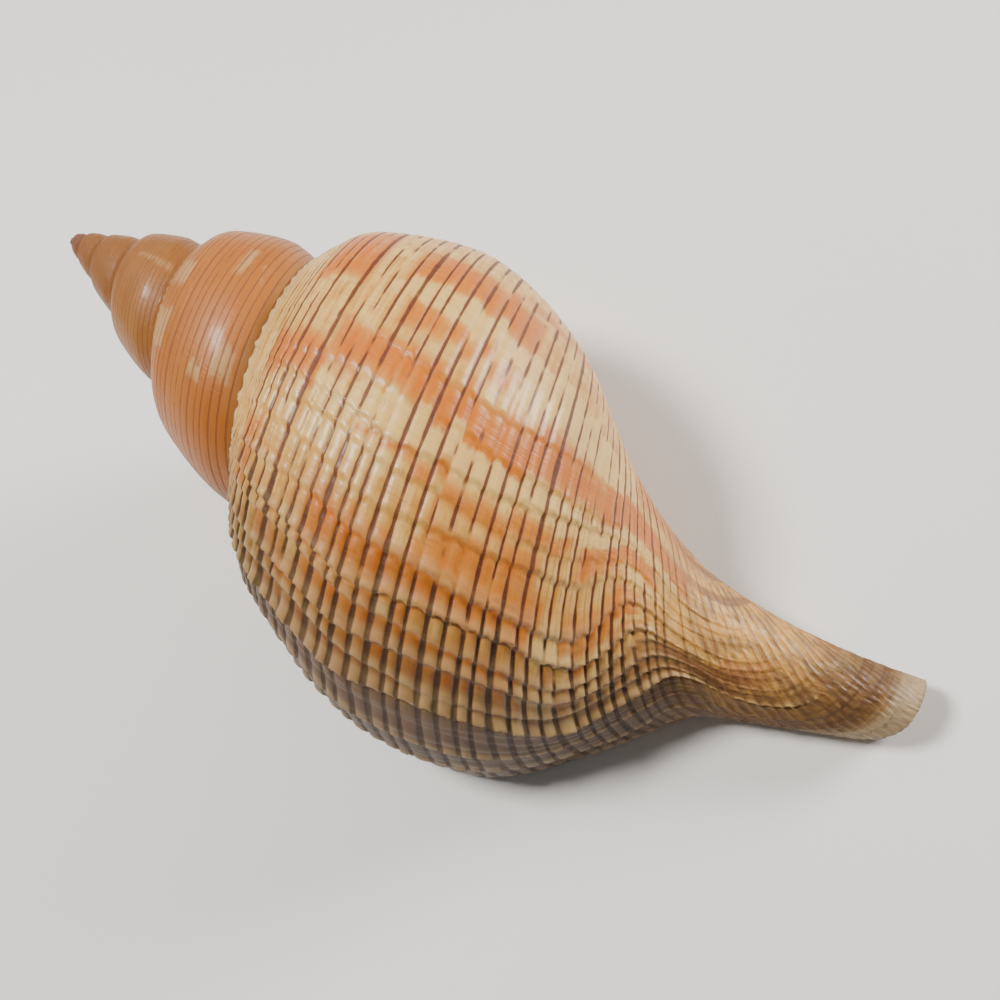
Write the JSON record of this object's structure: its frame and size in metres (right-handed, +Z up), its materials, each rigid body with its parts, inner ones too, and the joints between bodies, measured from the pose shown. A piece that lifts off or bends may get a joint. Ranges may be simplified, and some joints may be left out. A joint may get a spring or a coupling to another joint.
{
  "type": "tulip shell",
  "caption": "Large spindle-shaped sea snail shell with swollen body whorl, tapering spire, wide aperture and long open siphonal canal.",
  "frame": {"origin": "middle of the box round the shell, at the ground it lies on", "axes": "+X from the apex towards the end of the canal, level; +Z up, away from the ground that the aperture side lies on"},
  "size_m": [0.1348, 0.0634, 0.0502],
  "materials": {
    "shell": "satin, cream ground with orange patches and dark brown spiral lines"
  },
  "bodies": {
    "root": {"tulip_shell": "shell"}
  },
  "joints": []
}
